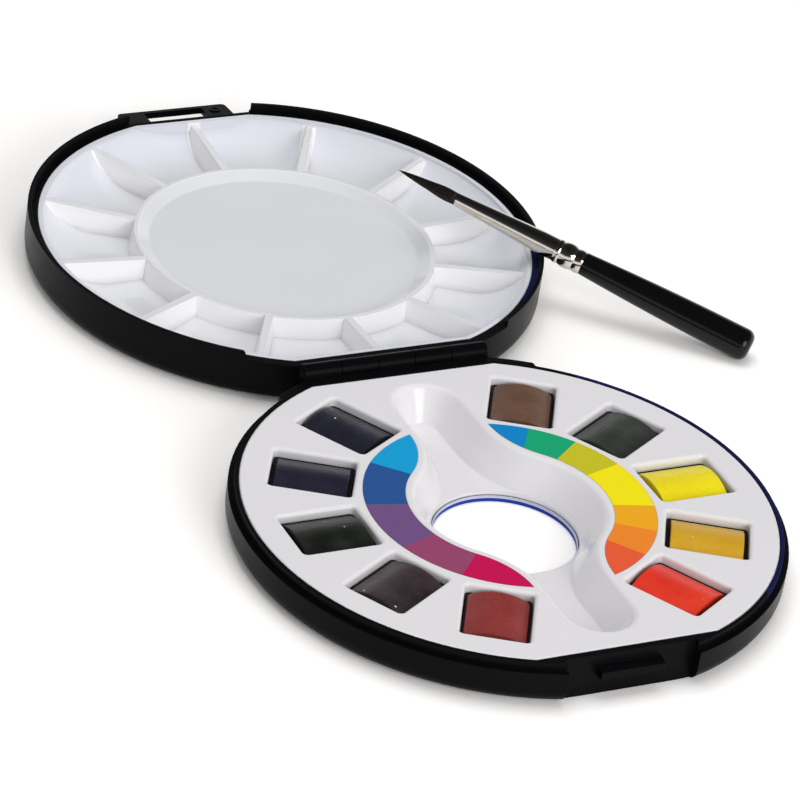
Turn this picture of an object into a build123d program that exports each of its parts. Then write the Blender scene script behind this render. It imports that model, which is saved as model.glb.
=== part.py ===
"""Round watercolor travel box, lying open, with its brush leaning on the lid's rim.

All sizes are in millimetres. The origin is the middle of the thumb hole, on the table.
X runs along the hinge, Y from the base to the lid, and Z up. The lid lies open at 180 degrees.
"""

from build123d import *
from math import asin, atan2, cos, degrees, hypot, pi, radians, sin, sqrt
import os

os.makedirs("parts", exist_ok=True)

# Both halves of the case
shell_radius = 65.5
hinge_setback = 1.5
rim_height = 10.6
rim_gap = 0.3
floor_thickness = 1.6
foot_fillet = 4.0
back_gap = 2.6

# Skirt on the lid, and the lip that it covers on the base
skirt_height = 2.05
skirt_thickness = 1.05
skirt_gap = 0.3
lip_thickness = 0.9
skirt_hinge_half_gap = 35.5
skirt_front_half_gap = 17.6
skirt_end_gap = 1.4

# Hinge
barrel_radius = 2.2
barrel_length = 49.0
knuckle_count = 5
knuckle_gap = 0.2
hinge_pin_radius = 0.9
fixed_pin_gap = 0.03
running_pin_gap = 0.06
web_reach = 2.2

# Paint tray in the base
tray_gap = 0.15
tray_back_inset = 5.8
tray_front_inset = 6.7
tray_skin = 1.2
tray_edge_fillet = 0.5

# Thumb hole and brush channel
thumb_radius = 17.0
tray_hole_gap = 0.4
dish_margin = 5.6
channel_pan_gap = 2.8
channel_end_gap = 5.2
channel_depth = 8.0
channel_floor_half_width = 3.7
channel_bend_radius = 23.0
channel_edge_fillet = 1.6

# Half pans, their pockets and their cakes
pan_length = 19.0
pan_width = 15.2
pan_height = 5.6
pan_wall = 0.5
pan_end_wall = 0.9
pan_corner = 0.8
pan_rim_margin = 9.8
pan_seat_gap = 0.1
pocket_gap = 0.3
pocket_edge_fillet = 0.9
pocket_fillet_wall_share = 0.4
cake_side_height = 5.1
cake_crown = 1.9
cake_gap = 0.05
pan_angles = {
    "yellow": 0,
    "olive": 30,
    "brown": 60,
    "indigo": 120,
    "ultramarine": 150,
    "dark_green": 180,
    "plum": 210,
    "brick_red": 240,
    "vermilion": 300,
    "ochre": 330,
}

# Printed color strips
strip_pan_gap = 2.3
strip_margin = 1.9
strip_thickness = 0.2
strip_proud = 0.05
strip_gap = 0.1

# Mixing palette in the lid
palette_gap = 0.15
palette_back_inset = 5.9
palette_front_inset = 4.9
palette_skin = 1.2
ledge_width = 1.6
well_floor = 6.2
well_slope_run = 3.0
ring_top = 8.1
ring_rim_distance = 27.1
ring_width = 1.1
ring_foot_run = 0.8
outer_floor_width = 8.8
bowl_ledge = 0.7
divider_end_gap = 0.5
divider_end_top = 9.6
divider_count = 12
divider_top_width = 1.6
divider_foot_width = 3.6

# Latch: flat fronts, the catch on the base and the clasp on the lid
base_front_inset = 4.9
lid_front_inset = 3.5
base_front_half_width = 16.5
lid_front_half_width = 17.3
catch_half_width = 8.0
catch_low = 5.0
catch_high = 7.8
catch_reach = 2.4
catch_bevel = 0.7
clasp_half_width = 15.5
clasp_bar_width = 1.4
clasp_corner = 1.3
clasp_thickness = 1.6
clasp_height = 6.5
clasp_face_gap = 0.3
clasp_catch_gap = 0.35
clasp_droop = 4.5
clasp_button_x = 11.6
clasp_button_reach = 8.6
clasp_button_radius = 1.5
clasp_button_height = 0.25
clasp_pin_radius = 0.5
ear_gap = 0.3
ear_thickness = 1.4

# Brush: where it crosses the lid's rim, how far out it rests, where it points, and its profile
brush_rim_angle = -25.26
brush_rim_run = 53.85
brush_heading = 134.9
brush_table_gap = 0.05
brush_rim_gap = 0.15
brush_fit_gap = 0.02
handle_length = 47.3
handle_butt_radius = 4.15
handle_butt_corner = 2.4
handle_neck_radius = 2.95
tenon_length = 12.0
ferrule_length = 36.1
ferrule_back_radius = 2.95
ferrule_mouth_radius = 1.8
ferrule_wall = 0.25
collar_width = 2.3
collar_radius = 3.15
bulge_width = 3.9
bulge_radius = 3.4
flange_width = 1.5
flange_radius = 3.2
hair_length = 16.6
hair_root_depth = 20.0
hair_sunk = 0.1
hair_belly = 3.5
hair_belly_share = 1.06
hair_middle = 11.0
hair_middle_share = 0.72
hair_tip_share = 0.3
hair_layering = 4.0
hair_rings = 10
hair_thickness_share = 0.85

# Places worked out from the sizes above
hinge_height = rim_height + rim_gap / 2
hinge_offset = shell_radius - hinge_setback
skirt_inner_radius = shell_radius - skirt_thickness
lip_radius = skirt_inner_radius - skirt_gap
base_inner_radius = lip_radius - lip_thickness
lid_inner_radius = shell_radius - ledge_width - skirt_thickness
tray_radius = base_inner_radius - tray_gap
palette_radius = lid_inner_radius - palette_gap
tray_back = hinge_offset - tray_back_inset
tray_front_reach = shell_radius - tray_front_inset
base_front = shell_radius - base_front_inset
lid_front = shell_radius - lid_front_inset
palette_front_reach = shell_radius - palette_front_inset
palette_back = hinge_offset - palette_back_inset
step_height = rim_height - skirt_height
lid_centre = 2 * hinge_offset
shell_back = hinge_offset - back_gap
pocket_length = pan_length + 2 * pocket_gap
pocket_width = pan_width + 2 * pocket_gap
pocket_floor = floor_thickness + tray_skin
pan_ring_radius = shell_radius - pan_rim_margin - pan_length / 2
strip_radius = pan_ring_radius - pan_length / 2 - strip_pan_gap
dish_radius = thumb_radius + dish_margin
steepest = radians(pan_angles["brown"])
pocket_corner_x = (pan_ring_radius - pocket_length / 2) * cos(steepest) - pocket_width / 2 * sin(steepest)
channel_half_width = pocket_corner_x - channel_pan_gap
half_step = radians(pan_angles["olive"] - pan_angles["yellow"]) / 2
pocket_inner_radius = pan_ring_radius - pocket_length / 2
pocket_wall = 2 * (pocket_inner_radius * sin(half_step) - pocket_width / 2 * cos(half_step))
pocket_fillet = min(pocket_edge_fillet, pocket_fillet_wall_share * pocket_wall)
channel_length = 2 * (tray_back - channel_end_gap)
channel_slope_run = channel_half_width - channel_floor_half_width
channel_floor = rim_height - channel_depth
ring_outer_radius = shell_radius - ring_rim_distance
ring_inner_radius = ring_outer_radius - ring_width
ring_foot_radius = ring_outer_radius + ring_foot_run
well_radius = ring_inner_radius - well_slope_run
outer_floor_radius = ring_foot_radius + outer_floor_width
outer_bowl_radius = palette_radius - bowl_ledge
divider_reach = outer_bowl_radius - divider_end_gap
clasp_pivot = lid_front + clasp_face_gap + clasp_thickness / 2


def case_outline(radius, back, front, centre=0.0, turned=1):
    """A circle cut flat towards the hinge and towards the latch."""
    back_half = sqrt(radius**2 - back**2)
    front_half = sqrt(radius**2 - front**2)
    with BuildSketch() as outline:
        with BuildLine():
            side_a = ThreePointArc((back_half, turned * back), (radius, 0), (front_half, -turned * front))
            front_edge = Line((front_half, -turned * front), (-front_half, -turned * front))
            side_b = ThreePointArc((-front_half, -turned * front), (-radius, 0), (-back_half, turned * back))
            back_edge = Line((-back_half, turned * back), (back_half, turned * back))
        make_face()
    return outline.sketch.moved(Location((0, centre, 0)))


def channel_outline(inset):
    """The channel's edge seen from above: a slot that swells smoothly into the dish.

    A larger inset is a smaller outline, with every arc about the same centre.
    """
    half_width = channel_half_width - inset
    dish = dish_radius - inset
    bend = channel_bend_radius + inset
    bend_x = channel_half_width + channel_bend_radius
    bend_y = sqrt((dish_radius + channel_bend_radius) ** 2 - bend_x**2)
    reach = hypot(bend_x, bend_y)
    join_x, join_y = dish * bend_x / reach, dish * bend_y / reach
    end_y = channel_length / 2 - channel_half_width
    turn = atan2(bend_y, bend_x)
    middle = (pi + turn) / 2 + pi / 2
    mid_x = bend_x + bend * cos(middle)
    mid_y = bend_y + bend * sin(middle)
    with BuildSketch(mode=Mode.PRIVATE) as outline:
        with BuildLine():
            for side in (1, -1):
                Line((side * half_width, end_y), (side * half_width, bend_y))
                ThreePointArc((side * half_width, bend_y), (side * mid_x, mid_y), (side * join_x, join_y))
                ThreePointArc((side * join_x, join_y), (side * dish, 0), (side * join_x, -join_y))
                ThreePointArc((side * join_x, -join_y), (side * mid_x, -mid_y), (side * half_width, -bend_y))
                Line((side * half_width, -bend_y), (side * half_width, -end_y))
                ThreePointArc((side * half_width, side * end_y), (0, side * (end_y + half_width)),
                              (-side * half_width, side * end_y))
        make_face()
    return outline.sketch


def channel_block(top, bottom, inset_at_rim):
    """A solid whose walls slope as the channel's do, between two heights."""
    run = channel_slope_run / channel_depth
    with BuildPart(mode=Mode.PRIVATE) as block:
        with BuildSketch(Plane.XY.offset(top)):
            add(channel_outline(inset_at_rim + (rim_height - top) * run))
        with BuildSketch(Plane.XY.offset(bottom)):
            add(channel_outline(inset_at_rim + (rim_height - bottom) * run))
        loft(ruled=True)
    return block.part


def save(part, name):
    """Name a finished piece and write it."""
    part.label = name
    export_step(part, f"parts/{name}.step")


# Hinge knuckles take turns along the barrel, the first and last on the base
knuckle_length = (barrel_length - (knuckle_count - 1) * knuckle_gap) / knuckle_count
knuckle_starts = [-barrel_length / 2 + i * (knuckle_length + knuckle_gap) for i in range(knuckle_count)]


def knuckles(starts, pin_gap, side):
    """Knuckles about the hinge axis, each with a web to its shell; side is -1 for the base."""
    with BuildPart(mode=Mode.PRIVATE) as group:
        for start in starts:
            with BuildSketch(Plane.YZ.offset(start)):
                with Locations((hinge_offset, hinge_height)):
                    Circle(barrel_radius)
                with Locations((hinge_offset + side * (back_gap + web_reach) / 2,
                                (rim_height + hinge_height - barrel_radius) / 2)):
                    Rectangle(back_gap + web_reach, rim_height - hinge_height + barrel_radius)
                with Locations((hinge_offset, hinge_height)):
                    Circle(hinge_pin_radius + pin_gap, mode=Mode.SUBTRACT)
            extrude(amount=knuckle_length)
    return group.part


def shell_body(back, inner_radius, inner_back, inner_front, centre, turned):
    """A shallow round dish with a rounded foot, flat where the hinge is."""
    with BuildPart(mode=Mode.PRIVATE) as body:
        with BuildSketch():
            with Locations((0, centre)):
                Circle(shell_radius)
        extrude(amount=rim_height)
        fillet(body.edges().group_by(Axis.Z)[0], radius=foot_fillet)
        with BuildSketch():
            with Locations((0, centre + turned * (back + shell_radius / 2))):
                Rectangle(2 * shell_radius, shell_radius)
        extrude(amount=rim_height, mode=Mode.SUBTRACT)
        with BuildSketch(Plane.XY.offset(floor_thickness)):
            add(case_outline(inner_radius, inner_back, inner_front, centre, turned))
        extrude(amount=rim_height, mode=Mode.SUBTRACT)
    return body.part


def front_flat(front, half_width, centre, turned):
    """What is cut away in front of a flat latch face."""
    with BuildPart(mode=Mode.PRIVATE) as cut:
        with BuildSketch():
            with Locations((0, centre - turned * (front + shell_radius / 2))):
                Rectangle(2 * half_width, shell_radius)
        extrude(amount=rim_height + 2 * skirt_height)
    return cut.part


# Base shell
with BuildPart() as base_shell:
    add(shell_body(shell_back, base_inner_radius, tray_back + tray_gap, tray_front_reach + tray_gap, 0, 1))
    with BuildSketch(Plane.XY.offset(step_height)):
        Circle(shell_radius + skirt_gap)
        Circle(lip_radius, mode=Mode.SUBTRACT)
        with Locations((0, shell_radius / 2)):
            Rectangle(2 * (skirt_hinge_half_gap - skirt_end_gap), shell_radius, mode=Mode.SUBTRACT)
        with Locations((0, -shell_radius / 2)):
            Rectangle(2 * base_front_half_width, shell_radius, mode=Mode.SUBTRACT)
    extrude(amount=rim_height, mode=Mode.SUBTRACT)
    add(front_flat(base_front, base_front_half_width, 0, 1), mode=Mode.SUBTRACT)
    with BuildSketch():
        Circle(thumb_radius)
    extrude(amount=floor_thickness, mode=Mode.SUBTRACT)
    add(knuckles(knuckle_starts[0::2], fixed_pin_gap, -1))
    with BuildSketch(Plane.YZ.offset(-catch_half_width)):
        with BuildLine():
            Polyline((-base_front, catch_low), (-base_front - catch_reach, catch_low + catch_bevel / 2),
                     (-base_front - catch_reach, catch_high - catch_bevel), (-base_front, catch_high), close=True)
        make_face()
    extrude(amount=2 * catch_half_width)
save(base_shell.part, "base_shell")

# Lid shell
ear_inner = clasp_half_width + ear_gap
with BuildPart() as lid_shell:
    add(shell_body(shell_back, lid_inner_radius, palette_back + palette_gap, palette_front_reach + palette_gap,
                   lid_centre, -1))
    with BuildSketch(Plane.XY.offset(rim_height)):
        with Locations((0, lid_centre)):
            Circle(shell_radius)
            Circle(skirt_inner_radius, mode=Mode.SUBTRACT)
        with Locations((0, lid_centre - shell_radius / 2)):
            Rectangle(2 * skirt_hinge_half_gap, shell_radius, mode=Mode.SUBTRACT)
        with Locations((0, lid_centre + shell_radius / 2)):
            Rectangle(2 * skirt_front_half_gap, shell_radius, mode=Mode.SUBTRACT)
    extrude(amount=skirt_height)
    add(front_flat(lid_front, lid_front_half_width, lid_centre, -1), mode=Mode.SUBTRACT)
    add(knuckles(knuckle_starts[1::2], running_pin_gap, 1))
    for side in (1, -1):
        with BuildSketch(Plane.YZ.offset(side * (ear_inner + ear_thickness / 2))):
            with Locations((lid_centre + clasp_pivot, clasp_height)):
                Circle(clasp_thickness / 2)
            with Locations((lid_centre + (lid_front + clasp_pivot) / 2, clasp_height)):
                Rectangle(clasp_pivot - lid_front, clasp_thickness)
            with Locations((lid_centre + clasp_pivot, clasp_height)):
                Circle(clasp_pin_radius + fixed_pin_gap, mode=Mode.SUBTRACT)
        extrude(amount=ear_thickness / 2, both=True)
save(lid_shell.part, "lid_shell")

# Hinge pin
with BuildPart() as hinge_pin:
    with BuildSketch(Plane.YZ.offset(-barrel_length / 2)):
        with Locations((hinge_offset, hinge_height)):
            Circle(hinge_pin_radius)
    extrude(amount=barrel_length)
save(hinge_pin.part, "hinge_pin")


# Paint tray
def pan_planes(height):
    """One level plane for each pan, named, with its X axis pointing out from the middle."""
    planes = {}
    for name, angle in pan_angles.items():
        outward = Vector(cos(radians(angle)), sin(radians(angle)), 0)
        planes[name] = Plane(origin=outward * pan_ring_radius + Vector(0, 0, height), x_dir=outward, z_dir=(0, 0, 1))
    return planes


def strip_outline(grown):
    """Two crescents between a circle and the channel's swelling."""
    with BuildSketch(mode=Mode.PRIVATE) as outline:
        Circle(strip_radius + grown)
        add(channel_outline(grown - strip_margin), mode=Mode.SUBTRACT)
    return outline.sketch


with BuildPart() as paint_tray:
    with BuildSketch(Plane.XY.offset(floor_thickness)):
        add(case_outline(tray_radius, tray_back, tray_front_reach))
    extrude(amount=rim_height - floor_thickness)
    fillet(paint_tray.edges().group_by(Axis.Z)[-1], radius=tray_edge_fillet)
    with BuildSketch(Plane.XY.offset(floor_thickness)):
        add(case_outline(tray_radius - tray_skin, tray_back - tray_skin, tray_front_reach - tray_skin))
    extrude(amount=rim_height - tray_skin - floor_thickness, mode=Mode.SUBTRACT)
    for plane in pan_planes(floor_thickness).values():
        with BuildSketch(plane):
            Rectangle(pocket_length + 2 * tray_skin, pocket_width + 2 * tray_skin)
        extrude(amount=rim_height - tray_skin / 2 - floor_thickness)
    add(channel_block(rim_height - tray_skin / 2, floor_thickness, -tray_skin))
    add(channel_block(rim_height, channel_floor, 0), mode=Mode.SUBTRACT)
    channel_edges = paint_tray.edges(Select.LAST)
    fillet(channel_edges.group_by(Axis.Z)[-1], radius=channel_edge_fillet)
    with BuildSketch():
        Circle(thumb_radius + tray_hole_gap)
    extrude(amount=rim_height, mode=Mode.SUBTRACT)
    for plane in pan_planes(pocket_floor).values():
        with BuildSketch(plane):
            RectangleRounded(pocket_length, pocket_width, pan_corner + pocket_gap)
        extrude(amount=rim_height, mode=Mode.SUBTRACT)
        fillet(paint_tray.edges(Select.LAST).group_by(Axis.Z)[-1], radius=pocket_fillet)
    with BuildSketch(Plane.XY.offset(rim_height + strip_proud - strip_thickness)):
        add(strip_outline(strip_gap))
    extrude(amount=rim_height, mode=Mode.SUBTRACT)
save(paint_tray.part, "paint_tray")

# Printed color strips, one each side of the channel
for name, side in {"color_strip_left": -1, "color_strip_right": 1}.items():
    with BuildPart() as strip:
        with BuildSketch(Plane.XY.offset(rim_height + strip_proud - strip_thickness)):
            add(strip_outline(0))
            with Locations((-side * strip_radius, 0)):
                Rectangle(2 * strip_radius, 2 * strip_radius, mode=Mode.SUBTRACT)
        extrude(amount=strip_thickness)
    save(strip.part, name)

# Half pans, each with its cake of paint
cake_length = pan_length - 2 * (pan_end_wall + cake_gap)
cake_width = pan_width - 2 * (pan_wall + cake_gap)
pan_bottoms = pan_planes(pocket_floor + pan_seat_gap)
cake_bottoms = pan_planes(pocket_floor + pan_seat_gap + pan_wall)
for name in pan_angles:
    with BuildPart() as pan:
        with BuildSketch(pan_bottoms[name]):
            RectangleRounded(pan_length, pan_width, pan_corner)
        extrude(amount=pan_height)
        with BuildSketch(cake_bottoms[name]):
            RectangleRounded(pan_length - 2 * pan_end_wall, pan_width - 2 * pan_wall, pan_corner)
        extrude(amount=pan_height, mode=Mode.SUBTRACT)
    save(pan.part, f"pan_{name}")

    across = Plane(origin=cake_bottoms[name].origin, x_dir=cake_bottoms[name].y_dir, z_dir=cake_bottoms[name].x_dir)
    with BuildPart() as cake:
        with BuildSketch(cake_bottoms[name]):
            RectangleRounded(cake_length, cake_width, pan_corner)
        extrude(amount=cake_side_height + cake_crown)
        with BuildSketch(across):
            with BuildLine():
                ThreePointArc((-cake_width / 2, cake_side_height), (0, cake_side_height + cake_crown),
                              (cake_width / 2, cake_side_height))
                Polyline((cake_width / 2, cake_side_height), (cake_width / 2, 0), (-cake_width / 2, 0),
                         (-cake_width / 2, cake_side_height))
            make_face()
        extrude(amount=cake_length / 2, both=True, mode=Mode.INTERSECT)
    save(cake.part, f"cake_{name}")

# Mixing palette: a round well, a ring, and an outer bowl that dividers cut into wells
outer_floor = floor_thickness + palette_skin
bowl_run = outer_bowl_radius - outer_floor_radius
bowl_rise = rim_height - outer_floor
bowl_arc = (bowl_run**2 + bowl_rise**2) / (2 * bowl_rise)
bowl_turn = asin(bowl_run / bowl_arc)
bowl_under = bowl_arc + palette_skin
under_turn = asin((palette_radius - outer_floor_radius) / bowl_under)
under_points = [(outer_floor_radius + bowl_under * sin(t), outer_floor + bowl_arc - bowl_under * cos(t))
                for t in (under_turn / 2, under_turn)]
ring_inner_foot = ring_foot_radius - palette_skin
divider_lean = (divider_foot_width - divider_top_width) / (divider_end_top - outer_floor)
lid_axis = Axis((0, lid_centre, 0), (0, 0, 1))

with BuildPart() as mixing_palette:
    with BuildSketch(Plane.XZ.offset(-lid_centre)):
        with BuildLine():
            Polyline((0, well_floor), (well_radius, well_floor), (ring_inner_radius, ring_top),
                     (ring_outer_radius, ring_top), (ring_foot_radius, outer_floor),
                     (outer_floor_radius, outer_floor))
            TangentArc((outer_floor_radius, outer_floor), (outer_bowl_radius, rim_height), tangent=(1, 0))
            Polyline((outer_bowl_radius, rim_height), (palette_radius, rim_height), under_points[1])
            ThreePointArc(under_points[1], under_points[0], (outer_floor_radius, floor_thickness))
            Polyline((outer_floor_radius, floor_thickness), (ring_inner_foot, floor_thickness),
                     (ring_inner_foot, well_floor - palette_skin), (0, well_floor - palette_skin), (0, well_floor))
        make_face()
    revolve(axis=lid_axis)
    for i in range(divider_count):
        turn = radians(i * 360 / divider_count)
        outward = Vector(cos(turn), sin(turn), 0)
        for distance, top in ((ring_outer_radius, ring_top), (divider_reach, divider_end_top)):
            half_top = (divider_foot_width - divider_lean * (top - outer_floor)) / 2
            with BuildSketch(Plane(origin=outward * distance + Vector(0, lid_centre, 0),
                                   x_dir=(-sin(turn), cos(turn), 0), z_dir=outward)):
                with BuildLine():
                    Polyline((-divider_foot_width / 2, outer_floor), (-half_top, top), (half_top, top),
                             (divider_foot_width / 2, outer_floor), close=True)
                make_face()
        loft(ruled=True)
    with BuildSketch(Plane.XY.offset(floor_thickness)):
        add(case_outline(palette_radius, palette_back, palette_front_reach, lid_centre, -1))
    extrude(amount=rim_height, mode=Mode.INTERSECT)
    with BuildSketch(Plane.XY.offset(floor_thickness)):
        add(case_outline(palette_radius, palette_back, palette_front_reach, lid_centre, -1))
        add(case_outline(palette_radius - palette_skin, palette_back - palette_skin,
                         palette_front_reach - palette_skin, lid_centre, -1), mode=Mode.SUBTRACT)
    extrude(amount=rim_height - floor_thickness)
save(mixing_palette.part, "mixing_palette")

# Clasp: two arms and a bar, round a window that takes the catch when it is shut
pivot_y = lid_centre + clasp_pivot
clasp_top = clasp_height + clasp_thickness / 2
window_reach = 2 * hinge_height - clasp_height - catch_low + clasp_catch_gap
clasp_length = window_reach + clasp_bar_width
window_half_width = catch_half_width + clasp_catch_gap
with BuildPart() as flat_clasp:
    with BuildSketch(Plane.XY.offset(clasp_height - clasp_thickness / 2)):
        with Locations((0, pivot_y + clasp_length / 2)):
            Rectangle(2 * clasp_half_width, clasp_length)
    extrude(amount=clasp_thickness)
    corners = flat_clasp.edges().filter_by(Axis.Z).group_by(Axis.Y)[-1]
    fillet(corners, radius=clasp_corner)
    with BuildSketch(Plane.YZ.offset(-clasp_half_width)):
        with Locations((pivot_y, clasp_height)):
            Circle(clasp_thickness / 2)
    extrude(amount=2 * clasp_half_width)
    with BuildSketch(Plane.XY.offset(clasp_height - clasp_thickness)):
        with Locations((0, pivot_y + (window_reach - clasp_thickness) / 2)):
            Rectangle(2 * window_half_width, window_reach + clasp_thickness)
    extrude(amount=2 * clasp_thickness, mode=Mode.SUBTRACT)
    with BuildSketch(Plane.XY.offset(clasp_top)):
        with Locations((clasp_button_x, pivot_y + clasp_button_reach)):
            Circle(clasp_button_radius)
            Circle(clasp_button_radius / 2, mode=Mode.SUBTRACT)
    extrude(amount=clasp_button_height)
    with BuildSketch(Plane.YZ.offset(-clasp_half_width)):
        with Locations((pivot_y, clasp_height)):
            Circle(clasp_pin_radius + running_pin_gap)
    extrude(amount=2 * clasp_half_width, mode=Mode.SUBTRACT)
with BuildPart() as clasp:
    add(flat_clasp.part.rotate(Axis((0, pivot_y, clasp_height), (1, 0, 0)), -clasp_droop))
save(clasp.part, "clasp")

# Clasp pin, from ear to ear
with BuildPart() as clasp_pin:
    with BuildSketch(Plane.YZ.offset(-ear_inner - ear_thickness)):
        with Locations((pivot_y, clasp_height)):
            Circle(clasp_pin_radius)
    extrude(amount=2 * (ear_inner + ear_thickness))
save(clasp_pin.part, "clasp_pin")

# Brush: its butt's lower corner rests on the table, and its ferrule on the skirt's top edge
towards_lid = Vector(cos(radians(brush_heading)), sin(radians(brush_heading)), 0)
rim_outward = Vector(cos(radians(brush_rim_angle)), sin(radians(brush_rim_angle)), 0)
rim_crossing = rim_outward * shell_radius + Vector(0, lid_centre, 0)
brush_contact = rim_crossing - towards_lid * brush_rim_run
rim_rise = rim_height + skirt_height - handle_butt_corner - brush_table_gap
butt_flat = handle_butt_radius - handle_butt_corner
rim_drop = ferrule_back_radius + brush_rim_gap - butt_flat
brush_tilt = atan2(rim_rise, brush_rim_run) + asin(rim_drop / hypot(brush_rim_run, rim_rise))
brush_direction = towards_lid * cos(brush_tilt) + Vector(0, 0, sin(brush_tilt))
brush_up = Vector(0, 0, cos(brush_tilt)) - towards_lid * sin(brush_tilt)
butt_corner = brush_contact + Vector(0, 0, handle_butt_corner + brush_table_gap)
brush_butt = butt_corner - brush_direction * handle_butt_corner + brush_up * butt_flat
brush_side = Plane(origin=brush_butt, x_dir=brush_direction, z_dir=brush_direction.cross(brush_up))
brush_axis = Axis(brush_butt, brush_direction)
ferrule_end = handle_length + ferrule_length
tenon_end = handle_length + tenon_length
tenon_radius = ferrule_back_radius - ferrule_wall - brush_fit_gap


def ferrule_bore(distance):
    """The ferrule's inner radius at a distance along the brush."""
    share = max(0.0, (distance - tenon_end) / (ferrule_end - tenon_end))
    return ferrule_back_radius + share * (ferrule_mouth_radius - ferrule_back_radius) - ferrule_wall


with BuildPart() as brush_handle:
    with BuildSketch(brush_side):
        with BuildLine():
            Line((0, 0), (0, butt_flat))
            CenterArc((handle_butt_corner, butt_flat), handle_butt_corner, 90, 90)
            TangentArc((handle_butt_corner, handle_butt_radius), (handle_length, handle_neck_radius), tangent=(1, 0))
            Polyline((handle_length, handle_neck_radius), (handle_length, tenon_radius), (tenon_end, tenon_radius),
                     (tenon_end, 0), (0, 0))
        make_face()
    revolve(axis=brush_axis)
save(brush_handle.part, "brush_handle")

with BuildPart() as brush_ferrule:
    with BuildSketch(brush_side):
        with BuildLine():
            bead_start = handle_length
            for width, radius in ((collar_width, collar_radius), (bulge_width, bulge_radius),
                                  (flange_width, flange_radius)):
                ThreePointArc((bead_start, ferrule_back_radius), (bead_start + width / 2, radius),
                              (bead_start + width, ferrule_back_radius))
                bead_start += width
            Polyline((bead_start, ferrule_back_radius), (tenon_end, ferrule_back_radius),
                     (ferrule_end, ferrule_mouth_radius), (ferrule_end, ferrule_bore(ferrule_end)),
                     (tenon_end, ferrule_bore(tenon_end)), (handle_length, ferrule_bore(handle_length)),
                     (handle_length, ferrule_back_radius))
        make_face()
    revolve(axis=brush_axis)
save(brush_ferrule.part, "brush_ferrule")

# Brush hair: fine strands in rings of six, all drawn in to the point alike
hair_root_radius = ferrule_bore(ferrule_end) - brush_fit_gap
hair_stations = [(-hair_sunk, 1.0), (0, 1.0), (hair_belly, hair_belly_share), (hair_middle, hair_middle_share),
                 (hair_length, hair_tip_share)]
strand_spacing = hair_root_radius / (hair_rings + 0.5)
strand_radius = strand_spacing * hair_thickness_share / 2


def hair_share(distance):
    """How much the tuft is swollen or drawn in at a distance from the ferrule's mouth."""
    for (start, low), (end, high) in zip(hair_stations, hair_stations[1:]):
        if distance <= end:
            return low + (high - low) * (distance - start) / (end - start)
    return hair_tip_share


def strand(x, y, length):
    """One three-sided strand, through the tuft's stations and up to its own length."""
    stops = [d for d, share in hair_stations if d < length] + [length]
    with BuildPart(mode=Mode.PRIVATE) as one:
        for stop in stops:
            share = hair_share(stop)
            with BuildSketch(Plane(origin=brush_axis.position + brush_axis.direction * (ferrule_end + stop),
                                   x_dir=brush_side.y_dir, z_dir=brush_axis.direction)):
                with Locations((x * share, y * share)):
                    RegularPolygon(strand_radius * share, 3)
        loft(ruled=True)
    return one.part.solid()


strands = []
for row in range(-hair_rings, hair_rings + 1):
    for column in range(-hair_rings, hair_rings + 1):
        ring = max(abs(row), abs(column), abs(row + column))
        if ring <= hair_rings:
            x = (column + row / 2) * strand_spacing
            y = row * sqrt(3) / 2 * strand_spacing
            strands.append(strand(x, y, hair_length - hair_layering * (ring / hair_rings)**2))
print("Strands of hair:", len(strands))

with BuildPart() as hair_root:
    with BuildSketch(brush_side):
        with BuildLine():
            Polyline((ferrule_end - hair_root_depth, 0),
                     (ferrule_end - hair_root_depth, ferrule_bore(ferrule_end - hair_root_depth) - brush_fit_gap),
                     (ferrule_end, hair_root_radius), (ferrule_end, 0), close=True)
        make_face()
    revolve(axis=brush_axis)

# All the strands join their root in a single step, as one group
brush_hair = hair_root.part.fuse(Compound(strands))
save(brush_hair, "brush_hair")
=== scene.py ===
"""The watercolor travel box as a product photograph: materials, the brush's hair, light and camera."""

import math

import bpy
import numpy as np
from mathutils import Matrix, Vector


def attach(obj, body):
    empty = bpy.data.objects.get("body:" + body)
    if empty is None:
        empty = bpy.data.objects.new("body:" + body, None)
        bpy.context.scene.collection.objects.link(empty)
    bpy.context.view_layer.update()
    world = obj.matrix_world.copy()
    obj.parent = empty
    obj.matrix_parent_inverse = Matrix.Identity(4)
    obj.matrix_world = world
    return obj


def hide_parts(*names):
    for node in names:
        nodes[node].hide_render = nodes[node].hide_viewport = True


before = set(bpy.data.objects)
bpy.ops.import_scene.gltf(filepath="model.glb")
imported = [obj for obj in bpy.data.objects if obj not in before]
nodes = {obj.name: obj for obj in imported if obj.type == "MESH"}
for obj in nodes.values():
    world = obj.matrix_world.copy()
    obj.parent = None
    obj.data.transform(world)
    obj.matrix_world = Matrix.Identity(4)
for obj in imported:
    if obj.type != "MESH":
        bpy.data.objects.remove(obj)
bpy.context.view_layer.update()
scene = bpy.context.scene
scene.view_settings.view_transform = "Standard"

MM = 0.001
WHITE = (1.0, 1.0, 1.0, 1.0)
BEVEL_SAMPLES = 4

# Camera: fitted to the photograph, which is 800 pixels wide
IMAGE_WIDTH = 800
FOCAL_PIXELS = 4465.1
SENSOR = 36.0
AZIMUTH = math.radians(-29.85)
ELEVATION = math.radians(30.83)
ROLL = math.radians(8.83)
DISTANCE = 1085.4 * MM
TARGET = Vector((3.04, 63.38, 0.0)) * MM
FARTHEST = 20.0

# The shells' own places, in metres
THUMB_RADIUS = 17.0 * MM
FLOOR_THICKNESS = 1.6 * MM
LID_CENTRE_Y = 128.0 * MM
HINGE_Y = LID_CENTRE_Y / 2
LIP_RADIUS = 64.35 * MM
LIP_LOW = 9.0 * MM


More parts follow.
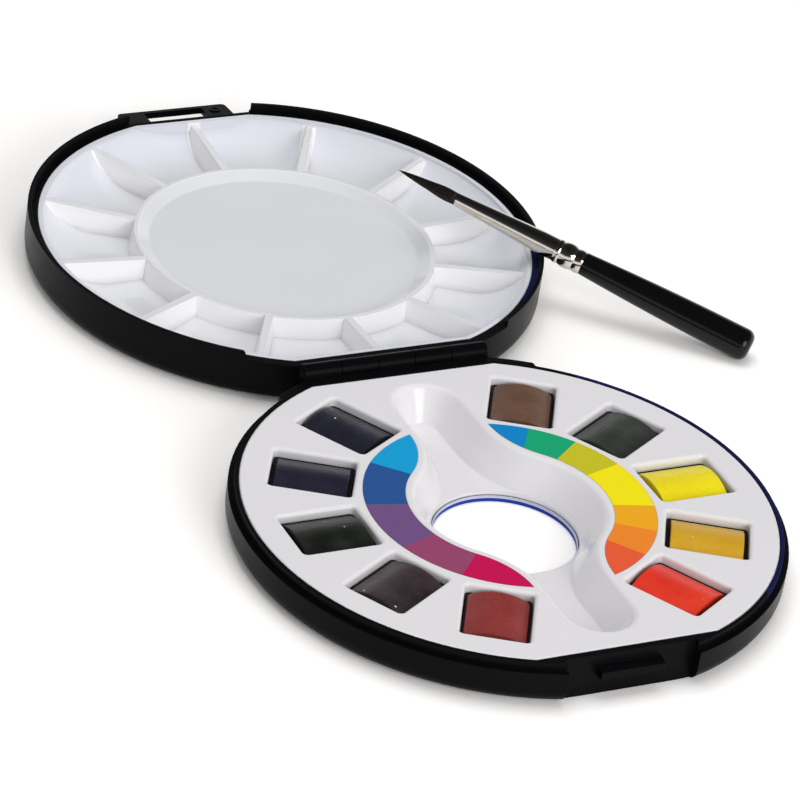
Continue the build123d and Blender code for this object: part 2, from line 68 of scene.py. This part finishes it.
def add_camera():
    """A long lens at the photograph's viewing angle."""
    back = Vector((math.sin(AZIMUTH) * math.cos(ELEVATION), -math.cos(AZIMUTH) * math.cos(ELEVATION),
                   math.sin(ELEVATION)))
    level = (-back).cross(Vector((0, 0, 1))).normalized()
    upright = level.cross(-back)
    right = level * math.cos(ROLL) + upright * math.sin(ROLL)
    up = upright * math.cos(ROLL) - level * math.sin(ROLL)
    data = bpy.data.cameras.new("camera")
    data.sensor_width = SENSOR
    data.sensor_fit = "HORIZONTAL"
    data.lens = FOCAL_PIXELS * SENSOR / IMAGE_WIDTH
    data.clip_end = FARTHEST
    camera = bpy.data.objects.new("camera", data)
    turn = Matrix((right, up, back)).transposed().to_4x4()
    camera.matrix_world = Matrix.Translation(TARGET + back * DISTANCE) @ turn
    scene.collection.objects.link(camera)
    scene.camera = camera


def area_light(name, place, aim, size, power, color, glossy):
    """A square lamp at a place, aimed at a point, that gloss shows or doesn't."""
    data = bpy.data.lights.new(name, "AREA")
    data.shape = "SQUARE"
    data.size = size
    data.energy = power
    data.color = color
    lamp = bpy.data.objects.new(name, data)
    lamp.location = place
    lamp.rotation_euler = (Vector(place) - Vector(aim)).to_track_quat("Z", "Y").to_euler()
    lamp.visible_glossy = glossy
    scene.collection.objects.link(lamp)


class Graph:
    """A node tree with short calls for adding and joining nodes."""

    def __init__(self, tree):
        self.tree = tree
        self.tree.nodes.clear()

    def node(self, kind, inputs=None, **settings):
        """Adds a node, sets its properties, and sets or links its inputs by name or number."""
        made = self.tree.nodes.new(kind)
        for key, value in settings.items():
            setattr(made, key, value)
        for key, value in (inputs or {}).items():
            if isinstance(value, bpy.types.NodeSocket):
                self.tree.links.new(value, made.inputs[key])
            else:
                made.inputs[key].default_value = value
        return made

    def math(self, operation, a, b=0.0, c=0.0):
        """One math step on up to three numbers or sockets."""
        return self.node("ShaderNodeMath", {0: a, 1: b, 2: c}, operation=operation).outputs[0]

    def vary(self, value, low, spread):
        """Goes from low up by the spread, as the value goes from 0 to 1."""
        return self.math("MULTIPLY_ADD", value, spread, low)

    def split(self, vector):
        """A vector's three parts."""
        return self.node("ShaderNodeSeparateXYZ", {0: vector}).outputs

    def distance(self, x, y):
        """How far a level place is from the origin."""
        squares = self.math("ADD", self.math("MULTIPLY", x, x), self.math("MULTIPLY", y, y))
        return self.math("SQRT", squares)

    def noise(self, vector, scale, detail, roughness=0.5):
        """A soft random pattern from 0 to 1."""
        made = self.node("ShaderNodeTexNoise", {"Vector": vector, "Scale": scale, "Detail": detail,
                                                "Roughness": roughness})
        return made.outputs["Fac"]

    def specks(self, vector, scale, size, rarity):
        """Scattered dots, as 1 on a dot and 0 beside it. A coarser noise leaves some of them out."""
        cells = self.node("ShaderNodeTexVoronoi", {"Vector": vector, "Scale": scale})
        chosen = self.math("GREATER_THAN", self.noise(vector, scale / 2, 1.0), rarity)
        return self.math("MULTIPLY", self.math("LESS_THAN", cells.outputs["Distance"], size), chosen)

    def ramp(self, value, stops, interpolation="LINEAR"):
        """A color ramp through (place, color) stops."""
        made = self.node("ShaderNodeValToRGB", {"Fac": value})
        ramp = made.color_ramp
        ramp.interpolation = interpolation
        while len(ramp.elements) < len(stops):
            ramp.elements.new(1.0)
        for element, (place, color) in zip(ramp.elements, stops):
            element.position = place
            element.color = (*color[:3], 1.0)
        return made.outputs["Color"]

    def mix(self, factor, a, b):
        """Mixes two colors."""
        made = self.node("ShaderNodeMix", {"Factor": factor}, data_type="RGBA")
        for socket, value in ((made.inputs[6], a), (made.inputs[7], b)):
            if isinstance(value, bpy.types.NodeSocket):
                self.tree.links.new(value, socket)
            else:
                socket.default_value = (*value[:3], 1.0)
        return made.outputs[2]

    def brighten(self, color, value, spread):
        """A color that gets lighter by the spread as the value goes from 0 to 1, the same on average."""
        brightness = self.vary(value, 1.0 - spread / 2, spread)
        return self.node("ShaderNodeHueSaturation", {"Value": brightness, "Color": color}).outputs[0]

    def rounded(self, radius):
        """The surface's own normal, with its sharp edges rounded off."""
        return self.node("ShaderNodeBevel", {"Radius": radius}, samples=BEVEL_SAMPLES).outputs[0]

    def bump(self, height, strength, depth, normal=None):
        """A normal that follows a height, on top of another normal if there is one."""
        inputs = {"Height": height, "Strength": strength, "Distance": depth}
        if normal is not None:
            inputs["Normal"] = normal
        return self.node("ShaderNodeBump", inputs).outputs["Normal"]

    def output(self, shader):
        """Joins a shader to the material's output."""
        self.node("ShaderNodeOutputMaterial", {"Surface": shader})

    def surface(self, inputs):
        """Makes the material's one shader from its inputs."""
        self.output(self.node("ShaderNodeBsdfPrincipled", inputs).outputs[0])


def linear(red, green, blue):
    """A color given as it looks on the screen, from 0 to 255, made linear for a shader."""
    def one(value):
        value /= 255
        return value / 12.92 if value <= 0.04045 else ((value + 0.055) / 1.055) ** 2.4
    return one(red), one(green), one(blue)


def new_material(name):
    """An empty material, its graph and its object-space coordinates."""
    material = bpy.data.materials.new(name)
    material.use_nodes = True
    graph = Graph(material.node_tree)
    place = graph.node("ShaderNodeTexCoord").outputs["Object"]
    return material, graph, place


def give(material, *names):
    """Puts a material on every slot of the named CAD nodes."""
    for name in names:
        for material_slot in nodes[name].material_slots:
            material_slot.material = material


# Below, a noise is given by its scale, its detail and, where that isn't 0.5, its roughness. A bump is given
# by its strength and depth, specks by their scale, size and rarity, and a roughness that varies by its
# lowest value and its spread.

# Black shell plastic: satin and finely grained, with light grey specks that are dust and painted glints, a
# painted blue glow of light through the thin lips on the right-hand side and round the thumb hole, and a
# pale painted highlight at the top of the hole
SHELL_BLACK = linear(8, 8, 10)
SHELL_SCUFFED = [1.5 * channel for channel in SHELL_BLACK]
# A painted blue glow of light through the thin lips, on the right-hand side only
LIP_GLOW_BLUE = linear(18, 24, 70)
GLOW_SIDE = math.radians(-30)
BASE_GLOW_FROM = 36.0 * MM
LID_GLOW_FROM = 61.4 * MM
# A painted blue glow in the thumb hole's wall, and a pale painted highlight along its top
HOLE_GLOW_BLUE = linear(38, 62, 158)
HOLE_PAINTED_HIGHLIGHT = linear(196, 200, 220)
HOLE_HIGHLIGHT_FROM = 0.9 * MM
HOLE_MARGIN = 0.2 * MM
FLOOR_MARGIN = 0.1 * MM
SHELL_GRAIN = (2600.0, 3.0)
SHELL_SCUFFS = (180.0, 5.0, 0.65)
SHELL_BUMP = (0.25, 0.02 * MM)
SHELL_ROUNDING = 0.25 * MM
SHELL_ROUGHNESS = (0.22, 0.22)
SHELL_SPECULAR = 0.05
# Light grey specks: dust, and painted glints
DUST_AND_GLINTS = (230.0, 0.07, 0.68)
DUST_AND_GLINT_GRAY = linear(120, 120, 122)


def shell_painted_glow(graph, place, plain):
    """The shells' color with painted light: a blue glow round the thumb hole with a pale painted highlight
    above it, and a blue glow on the lips at the right-hand side.
    """
    x, y, z = graph.split(place)
    from_base = graph.distance(x, y)
    from_lid = graph.distance(x, graph.math("SUBTRACT", y, LID_CENTRE_Y))
    in_hole = graph.math("LESS_THAN", from_base, THUMB_RADIUS + HOLE_MARGIN)
    in_floor = graph.math("LESS_THAN", z, FLOOR_THICKNESS + FLOOR_MARGIN)
    on_lip = graph.math("LESS_THAN", graph.math("MINIMUM", from_base, from_lid), LIP_RADIUS)
    on_lid = graph.math("GREATER_THAN", y, HINGE_Y)
    forward = graph.math("MULTIPLY", on_lid, graph.math("SUBTRACT", y, LID_CENTRE_Y))
    sideways = graph.math("MULTIPLY_ADD", x, math.cos(GLOW_SIDE),
                          graph.math("MULTIPLY", forward, math.sin(GLOW_SIDE)))
    glow_from = graph.vary(on_lid, BASE_GLOW_FROM, LID_GLOW_FROM - BASE_GLOW_FROM)
    near_top = graph.math("MULTIPLY", graph.math("GREATER_THAN", z, LIP_LOW),
                          graph.math("GREATER_THAN", sideways, glow_from))
    # Painted glow: blue on the lips' tops, only on the right-hand side
    lip_glow = graph.mix(graph.math("MULTIPLY", on_lip, near_top), plain, LIP_GLOW_BLUE)
    hole_glow = graph.mix(graph.math("GREATER_THAN", z, HOLE_HIGHLIGHT_FROM), HOLE_GLOW_BLUE, HOLE_PAINTED_HIGHLIGHT)
    return graph.mix(graph.math("MULTIPLY", in_hole, in_floor), lip_glow, hole_glow)


def shell_material():
    """Black plastic for the two shells and the clasp."""
    material, graph, place = new_material("shell_plastic")
    grain = graph.noise(place, *SHELL_GRAIN)
    scuffs = graph.noise(place, *SHELL_SCUFFS)
    clean = shell_painted_glow(graph, place, graph.mix(scuffs, SHELL_BLACK, SHELL_SCUFFED))
    graph.surface({
        "Base Color": graph.mix(graph.specks(place, *DUST_AND_GLINTS), clean, DUST_AND_GLINT_GRAY),
        "Roughness": graph.vary(scuffs, *SHELL_ROUGHNESS),
        "Normal": graph.bump(grain, *SHELL_BUMP, graph.rounded(SHELL_ROUNDING)),
        "Specular IOR Level": SHELL_SPECULAR,
    })
    return material


# White insert plastic: glossy, cool white, faintly uneven from the mould
TRAY_WHITE = linear(233, 231, 234)
TRAY_SHADE = linear(228, 227, 231)
TRAY_ROUGHNESS = (0.12, 0.08)
WELL_WHITE = linear(228, 229, 232)
WELL_SHADE = linear(222, 224, 230)
WELL_ROUGHNESS = (0.07, 0.08)
MOULD_WAVES = (45.0, 2.0)
MOULD_GRAIN = (1350.0, 2.0)
WAVE_BUMP = (0.35, 0.08 * MM)
MOULD_GRAIN_BUMP = (0.1, 0.002 * MM)
INSERT_ROUNDING = 0.4 * MM
INSERT_SPECULAR = 0.4

# The palette's ring and dividers have paler sides, a painted glow of light through thin walls, and its
# outer slopes a cooler painted shade
RIDGE_SIDE_GLOW = linear(251, 250, 251)
RIDGE_TOP = linear(229, 230, 234)
TOP_UPWARD = 0.95
SLOPE_PAINTED_SHADE = linear(225, 227, 236)
SLOPE_RADIUS = 50.0 * MM
SLOPE_BLUR = 5.0 * MM
RING_INNER = 37.2 * MM
RING_OUTER = 39.4 * MM
DIVIDER_HALF_STEP = math.radians(15)
DIVIDER_HALF_WIDTH = 1.8 * MM
DIVIDER_REACH = 61.2 * MM
EDGE_BLUR = 0.25 * MM


def palette_painted_light(graph, place, plain):
    """The palette's tone with painted light: a paler painted glow on the sides of its ring and dividers,
    and a cooler painted shade on its outer slope.
    """
    parts = graph.split(place)
    x = parts[0]
    y = graph.math("SUBTRACT", parts[1], LID_CENTRE_Y)
    radius = graph.distance(x, y)
    turn = graph.math("PINGPONG", graph.math("ARCTAN2", y, x), DIVIDER_HALF_STEP)
    beside = graph.math("MULTIPLY", radius, graph.math("SINE", turn))

    def below(value, limit):
        edges = {"Value": value, "From Min": limit + EDGE_BLUR, "From Max": limit - EDGE_BLUR}
        return graph.node("ShaderNodeMapRange", edges).outputs[0]

    outside = graph.math("MULTIPLY", graph.math("SUBTRACT", 1.0, below(radius, RING_INNER)),
                         below(radius, DIVIDER_REACH))
    divider = graph.math("MULTIPLY", below(beside, DIVIDER_HALF_WIDTH), outside)
    ring = graph.math("MULTIPLY", below(radius, RING_OUTER), outside)
    # Painted shade: the outer slopes turn cooler
    slope = graph.node("ShaderNodeMapRange", {"Value": radius, "From Min": SLOPE_RADIUS,
                                              "From Max": SLOPE_RADIUS + SLOPE_BLUR}).outputs[0]
    world_face = graph.node("ShaderNodeNewGeometry").outputs["True Normal"]
    face = graph.node("ShaderNodeVectorTransform", {0: world_face}, vector_type="NORMAL",
                      convert_from="WORLD", convert_to="OBJECT").outputs[0]
    # Painted glow: the steep sides of the ring and dividers are paler than their tops
    is_top = graph.math("GREATER_THAN", graph.split(face)[2], TOP_UPWARD)
    ridge_painted_light = graph.mix(is_top, RIDGE_SIDE_GLOW, RIDGE_TOP)
    return graph.mix(graph.math("MAXIMUM", divider, ring), graph.mix(slope, plain, SLOPE_PAINTED_SHADE), ridge_painted_light)


def insert_material(name, white, shade, roughness, has_wells=False):
    """White plastic for the tray, or for the palette with its wells."""
    material, graph, place = new_material(name)
    waves = graph.noise(place, *MOULD_WAVES)
    color = graph.mix(waves, white, shade)
    if has_wells:
        color = palette_painted_light(graph, place, color)
    grain = graph.noise(place, *MOULD_GRAIN)
    wavy = graph.bump(waves, *WAVE_BUMP, graph.rounded(INSERT_ROUNDING))
    graph.surface({
        "Base Color": color,
        "Roughness": graph.vary(grain, *roughness),
        "Normal": graph.bump(grain, *MOULD_GRAIN_BUMP, wavy),
        "Specular IOR Level": INSERT_SPECULAR,
    })
    return material


# Printed strips: cells of flat color, each from its angle about the thumb hole, in degrees from +X
STRIP_CELLS = [
    (-180, linear(112, 81, 132)),
    (-163, linear(150, 70, 108)),
    (-135, linear(198, 6, 82)),
    (-90, linear(233, 92, 53)),
    (-53, linear(240, 136, 40)),
    (-34, linear(241, 170, 27)),
    (-16, linear(246, 230, 12)),
    (15, linear(199, 193, 34)),
    (36, linear(16, 165, 114)),
    (56, linear(0, 133, 201)),
    (90, linear(12, 158, 215)),
    (136, linear(36, 84, 150)),
    (166, linear(112, 81, 132)),
]
PRINT_DOTS = (3500.0, 1.0)
PRINT_DOTS_SPREAD = 0.1
PRINT_BUMP = (0.1, 0.004 * MM)
PRINT_ROUGHNESS = 0.45
PRINT_SPECULAR = 0.1


def strip_material():
    """Printed cells for both color strips."""
    material, graph, place = new_material("printed_strip")
    x, y, _ = graph.split(place)
    turn = graph.math("MULTIPLY_ADD", graph.math("ARCTAN2", y, x), 1 / (2 * math.pi), 0.5)
    stops = [((degrees + 180) / 360, color) for degrees, color in STRIP_CELLS]
    cells = graph.ramp(turn, stops, "CONSTANT")
    dots = graph.noise(place, *PRINT_DOTS)
    graph.surface({
        "Base Color": graph.brighten(cells, dots, PRINT_DOTS_SPREAD),
        "Roughness": PRINT_ROUGHNESS,
        "Normal": graph.bump(dots, *PRINT_BUMP),
        "Specular IOR Level": PRINT_SPECULAR,
    })
    return material


# Paint: each cake's deep color and its paler dusty tone
PAINTS = {
    "yellow": (linear(238, 216, 0), linear(243, 226, 14)),
    "olive": (linear(40, 44, 41), linear(64, 69, 62)),
    "brown": (linear(98, 67, 50), linear(118, 86, 68)),
    "indigo": (linear(28, 27, 42), linear(40, 44, 57)),
    "ultramarine": (linear(30, 26, 44), linear(40, 39, 58)),
    "dark_green": (linear(18, 21, 18), linear(42, 46, 40)),
    "plum": (linear(44, 33, 38), linear(74, 62, 62)),
    "brick_red": (linear(134, 38, 38), linear(152, 56, 52)),
    "vermilion": (linear(226, 42, 20), linear(234, 66, 34)),
    "ochre": (linear(208, 158, 22), linear(214, 168, 44)),
}
PAINT_GRAIN = (900.0, 4.0, 0.6)
PAINT_GRAIN_SPREAD = 0.2
PAINT_LUMPS = (160.0, 3.0)
PAINT_DEEP_TO = 0.3
PAINT_DUSTY_FROM = 0.85
PAINT_SPECKS = (420.0, 0.10, 0.62)
PAINT_SPECK_COLOR = linear(215, 215, 210)
PAINT_BUMP = (0.5, 0.16 * MM)
PAINT_ROUNDING = 0.5 * MM
PAINT_ROUGHNESS = (0.24, 0.25)
PAINT_SPECULAR = 0.5


def paint_material(name, deep, dusty):
    """Dry paint for one cake: lumpy, grained and specked."""
    material, graph, place = new_material(f"paint_{name}")
    grain = graph.noise(place, *PAINT_GRAIN)
    lumps = graph.noise(place, *PAINT_LUMPS)
    uneven = graph.ramp(lumps, [(PAINT_DEEP_TO, deep), (PAINT_DUSTY_FROM, dusty)])
    grained = graph.brighten(uneven, grain, PAINT_GRAIN_SPREAD)
    height = graph.math("ADD", grain, lumps)
    graph.surface({
        "Base Color": graph.mix(graph.specks(place, *PAINT_SPECKS), grained, PAINT_SPECK_COLOR),
        "Roughness": graph.vary(grain, *PAINT_ROUGHNESS),
        "Normal": graph.bump(height, *PAINT_BUMP, graph.rounded(PAINT_ROUNDING)),
        "Specular IOR Level": PAINT_SPECULAR,
    })
    return material


# Half pans: matt black plastic
PAN_BLACK = linear(13, 13, 14)
PAN_GRAY = linear(20, 20, 22)
PAN_GRAIN = (2600.0, 2.0)
PAN_BUMP = (0.2, 0.02 * MM)
PAN_ROUGHNESS = 0.4
PAN_SPECULAR = 0.1


def pan_material():
    """Black plastic for the ten half pans."""
    material, graph, place = new_material("pan_plastic")
    grain = graph.noise(place, *PAN_GRAIN)
    graph.surface({
        "Base Color": graph.mix(grain, PAN_BLACK, PAN_GRAY),
        "Roughness": PAN_ROUGHNESS,
        "Normal": graph.bump(grain, *PAN_BUMP),
        "Specular IOR Level": PAN_SPECULAR,
    })
    return material


# Pins: dull steel, drawn lengthwise along X
PIN_DARK = linear(58, 58, 60)
PIN_PALE = linear(84, 84, 86)
PIN_STRETCH = (60.0, 4000.0, 4000.0)
PIN_LINES = (1.0, 2.0)
PIN_BUMP = (0.1, 0.005 * MM)
PIN_ROUGHNESS = 0.3


def pin_material():
    """Steel for the hinge's pin and the clasp's pin."""
    material, graph, place = new_material("steel_pin")
    streaks = graph.node("ShaderNodeMapping", {"Vector": place, "Scale": PIN_STRETCH}).outputs[0]
    lines = graph.noise(streaks, *PIN_LINES)
    graph.surface({
        "Base Color": graph.mix(lines, PIN_DARK, PIN_PALE),
        "Metallic": 1.0,
        "Roughness": PIN_ROUGHNESS,
        "Normal": graph.bump(lines, *PIN_BUMP),
    })
    return material


# Ferrule: polished nickel silver, faintly tarnished and rubbed
NICKEL_DARK = linear(206, 200, 188)
NICKEL_PALE = linear(228, 224, 214)
NICKEL_TARNISH = (220.0, 4.0)
NICKEL_RUBBING = (1600.0, 3.0)
NICKEL_BUMP = (0.08, 0.01 * MM)
NICKEL_ROUGHNESS = (0.04, 0.09)


def ferrule_material():
    """Polished metal for the brush's ferrule."""
    material, graph, place = new_material("nickel_silver")
    tarnish = graph.noise(place, *NICKEL_TARNISH)
    rubbed = graph.noise(place, *NICKEL_RUBBING)
    graph.surface({
        "Base Color": graph.mix(tarnish, NICKEL_DARK, NICKEL_PALE),
        "Metallic": 1.0,
        "Roughness": graph.vary(rubbed, *NICKEL_ROUGHNESS),
        "Normal": graph.bump(rubbed, *NICKEL_BUMP),
    })
    return material


# Handle: gloss black lacquer over wood
LACQUER_BLACK = linear(9, 9, 11)
LACQUER_GRAY = linear(15, 15, 17)
LACQUER_FLOW = (90.0, 2.0)
LACQUER_SPECKS = (1500.0, 2.0)
LACQUER_BUMP = (0.12, 0.05 * MM)
LACQUER_ROUGHNESS = (0.14, 0.1)
LACQUER_SPECULAR = 0.18
LACQUER_COAT = 0.1
LACQUER_COAT_ROUGHNESS = 0.06


def lacquer_material():
    """Black lacquer for the brush's handle."""
    material, graph, place = new_material("black_lacquer")
    flow = graph.noise(place, *LACQUER_FLOW)
    specks = graph.noise(place, *LACQUER_SPECKS)
    graph.surface({
        "Base Color": graph.mix(flow, LACQUER_BLACK, LACQUER_GRAY),
        "Roughness": graph.vary(specks, *LACQUER_ROUGHNESS),
        "Normal": graph.bump(flow, *LACQUER_BUMP),
        "Specular IOR Level": LACQUER_SPECULAR,
        "Coat Weight": LACQUER_COAT,
        "Coat Roughness": LACQUER_COAT_ROUGHNESS,
    })
    return material


# Hair's color: each strand has its own tone, from 0, dark, to 1, pale
HAIR_TONES = [(0.0, linear(17, 14, 13)), (0.7, linear(36, 29, 27)), (1.0, linear(68, 57, 53))]
HAIR_DARKENED = linear(14, 11, 11)
HAIR_MOTTLE = (700.0, 2.0)
HAIR_MOTTLE_SHARE = 0.4
HAIR_ROUGHNESS = 0.38
HAIR_SPECULAR = 0.25


def hair_material():
    """Fine dark hair, toned strand by strand."""
    material, graph, place = new_material("brush_hair")
    tone = graph.node("ShaderNodeAttribute", attribute_name="tone").outputs["Fac"]
    color = graph.ramp(tone, HAIR_TONES)
    mottle = graph.math("MULTIPLY", graph.noise(place, *HAIR_MOTTLE), HAIR_MOTTLE_SHARE)
    graph.surface({
        "Base Color": graph.mix(mottle, color, HAIR_DARKENED),
        "Roughness": HAIR_ROUGHNESS,
        "Specular IOR Level": HAIR_SPECULAR,
    })
    return material


# Brush hair: a drawn-in core with fine strands on and in it, in the place of the CAD hair
HAIR_LENGTH = 16.6 * MM
HAIR_ROOT_RADIUS = 1.5 * MM
HAIR_SUNK = 0.4 * MM
HAIR_SEED = 5

# The tuft swells by this share until this share of its length, and is drawn in by these two powers
BELLY_SWELL = 0.16
BELLY_END = 0.45
TAPER_START = 1.9
TAPER_END = 0.85

# The core, a little narrower and shorter than the tuft, and toned darker as painted shade between the
# strands
CORE_WIDTH_SHARE = 0.93
CORE_LENGTH_SHARE = 0.985
CORE_TIP_RADIUS = 0.03 * MM
CORE_STEPS = 24
CORE_SIDES = 32
# Painted shade: the core is toned darker than the strands
CORE_PAINTED_SHADE_TONE = 0.1

# The strands: the deepest and the shortest of them, how they wave, and the mean and spread of their tones
STRAND_COUNT = 1500
STRAND_RADIUS = 0.045 * MM
STRAND_THINNING = 0.75
STRAND_STEPS = 12
STRAND_SIDES = 3
STRAND_DEPTH = 0.10
STRAND_DEPTH_POWER = 2
STRAND_SHORTENING = 0.28
STRAND_SHORTENING_POWER = 2.5
STRAND_WAVE = 0.03
STRAND_WAVE_GAIN = 4
STRAND_TONE = 0.45
STRAND_TONE_SPREAD = 0.25

# How far behind the ferrule's mouth a point still counts as the mouth's own
MOUTH_DEPTH = 0.05 * MM


def brush_axis():
    """The middle of the ferrule's mouth and the brush's direction, both from the ferrule's mesh."""
    mesh = nodes["brush_ferrule"].data
    points = np.empty(len(mesh.vertices) * 3)
    mesh.vertices.foreach_get("co", points)
    points = points.reshape(-1, 3)
    middle = points.mean(axis=0)
    direction = np.linalg.svd(points - middle, full_matrices=False)[2][0]
    if direction[2] < 0:
        direction = -direction
    along = (points - middle) @ direction
    mouth = middle + direction * along.max()
    centre = points[along > along.max() - MOUTH_DEPTH].mean(axis=0)
    return Vector(centre + direction * ((mouth - centre) @ direction)), Vector(direction)


def hair_form(share):
    """The tuft's radius as a share of its root's, from the ferrule's mouth to the point."""
    belly = 1.0 + BELLY_SWELL * math.sin(math.pi * min(share / BELLY_END, 1.0))
    taper = (1.0 - share ** TAPER_START) ** TAPER_END
    return belly * taper


class Tuft:
    """The hair's mesh while it is made: tubes along the brush's axis, each of one tone."""

    def __init__(self):
        self.mouth, self.direction = brush_axis()
        self.side = self.direction.cross(Vector((0, 0, 1))).normalized()
        self.upward = self.side.cross(self.direction)
        self.vertices = []
        self.faces = []
        self.tones = []

    def tube(self, centres, radii, sides, tone):
        """A closed tube through the centres, whose first one is sunk into the ferrule."""
        centres[0] = centres[0] - self.direction * HAIR_SUNK
        starts = []
        for centre, radius in zip(centres, radii):
            starts.append(len(self.vertices))
            for i in range(sides):
                angle = 2 * math.pi * i / sides
                across = self.side * (radius * math.cos(angle))
                self.vertices.append(centre + across + self.upward * (radius * math.sin(angle)))
                self.tones.append(tone)
        for a, b in zip(starts, starts[1:]):
            for i in range(sides):
                j = (i + 1) % sides
                self.faces.append((a + i, a + j, b + j, b + i))
        self.faces.append(tuple(reversed(range(starts[0], starts[0] + sides))))
        self.faces.append(tuple(range(starts[-1], starts[-1] + sides)))

    def add_core(self):
        """The tuft's middle, toned darker as painted shade that shows between the strands."""
        shares = [i / CORE_STEPS for i in range(CORE_STEPS + 1)]
        radii = [max(CORE_WIDTH_SHARE * HAIR_ROOT_RADIUS * hair_form(s), CORE_TIP_RADIUS) for s in shares]
        centres = [self.mouth + self.direction * (HAIR_LENGTH * CORE_LENGTH_SHARE * s) for s in shares]
        self.tube(centres, radii, CORE_SIDES, CORE_PAINTED_SHADE_TONE)

    def add_strand(self, rng):
        """One strand, with its own place, length, wave and tone."""
        turn = rng.uniform(0, 2 * math.pi)
        depth = 1.0 - STRAND_DEPTH * rng.random() ** STRAND_DEPTH_POWER
        reach = 1.0 - STRAND_SHORTENING * rng.random() ** STRAND_SHORTENING_POWER
        wave = rng.normal(0, STRAND_WAVE)
        tone = float(np.clip(rng.normal(STRAND_TONE, STRAND_TONE_SPREAD), 0, 1))
        centres = []
        radii = []
        for i in range(STRAND_STEPS + 1):
            share = reach * i / STRAND_STEPS
            angle = turn + wave * share * STRAND_WAVE_GAIN
            radius = HAIR_ROOT_RADIUS * hair_form(share) * depth
            outward = self.side * math.cos(angle) + self.upward * math.sin(angle)
            centres.append(self.mouth + self.direction * (HAIR_LENGTH * share) + outward * radius)
            radii.append(STRAND_RADIUS * (1.0 - STRAND_THINNING * share))
        self.tube(centres, radii, STRAND_SIDES, tone)


def add_hair():
    """Makes the tuft's core and strands as one mesh."""
    tuft = Tuft()
    tuft.add_core()
    rng = np.random.default_rng(HAIR_SEED)
    for _ in range(STRAND_COUNT):
        tuft.add_strand(rng)
    mesh = bpy.data.meshes.new("brush_hair_strands")
    mesh.from_pydata([tuple(v) for v in tuft.vertices], [], tuft.faces)
    attribute = mesh.attributes.new("tone", "FLOAT", "POINT")
    attribute.data.foreach_set("value", tuft.tones)
    mesh.update()
    for polygon in mesh.polygons:
        polygon.use_smooth = True
    hair = bpy.data.objects.new("brush_hair_strands", mesh)
    scene.collection.objects.link(hair)
    mesh.materials.append(hair_material())
    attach(hair, "brush")
    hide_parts("brush_hair")


def seen(graph):
    """1 for a ray from the camera, from gloss or through glass, and 0 for light on matt surfaces."""
    ray = graph.node("ShaderNodeLightPath").outputs
    mirrored = graph.math("MAXIMUM", ray["Is Glossy Ray"], ray["Is Transmission Ray"])
    return graph.math("MAXIMUM", ray["Is Camera Ray"], mirrored)


# The table: white paper that keeps a soft warm shadow
FLOOR_SIZE = 8.0
FLOOR_COLOR = (0.90, 0.89, 0.88)
FLOOR_SEEN = (1.17, 1.155, 1.145)
FLOOR_GLOW = 0.04


def add_floor():
    """A level white sheet, which isn't part of the object."""
    material, graph, _ = new_material("white_table")
    is_seen = seen(graph)
    paper = graph.node("ShaderNodeBsdfDiffuse", {"Color": graph.mix(is_seen, FLOOR_COLOR, FLOOR_SEEN)})
    glow = graph.node("ShaderNodeEmission", {"Color": WHITE, "Strength": 1.0})
    share = graph.math("MULTIPLY", is_seen, FLOOR_GLOW)
    both = graph.node("ShaderNodeMixShader", {0: share, 1: paper.outputs[0], 2: glow.outputs[0]})
    graph.output(both.outputs[0])
    mesh = bpy.data.meshes.new("table")
    half = FLOOR_SIZE / 2
    corners = [(-half, -half, 0), (half, -half, 0), (half, half, 0), (-half, half, 0)]
    mesh.from_pydata(corners, [], [(0, 1, 2, 3)])
    mesh.materials.append(material)
    floor = bpy.data.objects.new("table", mesh)
    scene.collection.objects.link(floor)


# Room light: even for matt surfaces; gloss and the camera see it white low down and dark overhead
AMBIENT = 0.42
ROOM_STOPS = [(0.58, (1.0, 1.0, 1.0)), (0.64, (0.75, 0.75, 0.75)), (0.70, (0.05, 0.05, 0.055)),
              (1.0, (0.012, 0.012, 0.014))]


def add_room():
    """The world's even light, and the walls that the camera and gloss see instead."""
    world = bpy.data.worlds.new("room")
    scene.world = world
    world.use_nodes = True
    graph = Graph(world.node_tree)
    is_seen = seen(graph)
    direction = graph.node("ShaderNodeTexCoord").outputs["Generated"]
    # From 0, straight down, to 1, straight up
    climb = graph.math("MULTIPLY_ADD", graph.split(direction)[2], 0.5, 0.5)
    walls = graph.node("ShaderNodeBackground", {"Color": graph.ramp(climb, ROOM_STOPS), "Strength": 1.0})
    even = graph.node("ShaderNodeBackground", {"Color": WHITE, "Strength": AMBIENT})
    both = graph.node("ShaderNodeMixShader", {0: is_seen, 1: even.outputs[0], 2: walls.outputs[0]})
    graph.node("ShaderNodeOutputWorld", {"Surface": both.outputs[0]})


# Lamps: where they are, in metres, and their power, in watts
KEY_PLACE = (0.03, 0.27, 1.22)
KEY_SIZE = 0.8
KEY_POWER = 6.2
FILL_PLACE = (0.22, -1.43, 0.62)
FILL_SIZE = 0.9
FILL_POWER = 14.0
LAMP_COLOR = (1.0, 0.99, 0.975)
AIM = (0.0, 0.06, 0.0)


def add_lamps():
    """A key from overhead, and a low fill from the front."""
    area_light("key", KEY_PLACE, AIM, KEY_SIZE, KEY_POWER, LAMP_COLOR, glossy=False)
    area_light("fill", FILL_PLACE, AIM, FILL_SIZE, FILL_POWER, LAMP_COLOR, glossy=True)


add_camera()
add_room()
add_lamps()
add_floor()

give(shell_material(), "base_shell", "lid_shell", "clasp")
give(insert_material("tray_plastic", TRAY_WHITE, TRAY_SHADE, TRAY_ROUGHNESS), "paint_tray")
palette_plastic = insert_material("palette_plastic", WELL_WHITE, WELL_SHADE, WELL_ROUGHNESS, has_wells=True)
give(palette_plastic, "mixing_palette")
give(strip_material(), "color_strip_left", "color_strip_right")
give(pin_material(), "hinge_pin", "clasp_pin")
give(ferrule_material(), "brush_ferrule")
give(lacquer_material(), "brush_handle")
pan_plastic = pan_material()
for paint_name, (deep_color, dusty_color) in PAINTS.items():
    give(pan_plastic, f"pan_{paint_name}")
    give(paint_material(paint_name, deep_color, dusty_color), f"cake_{paint_name}")
add_hair()
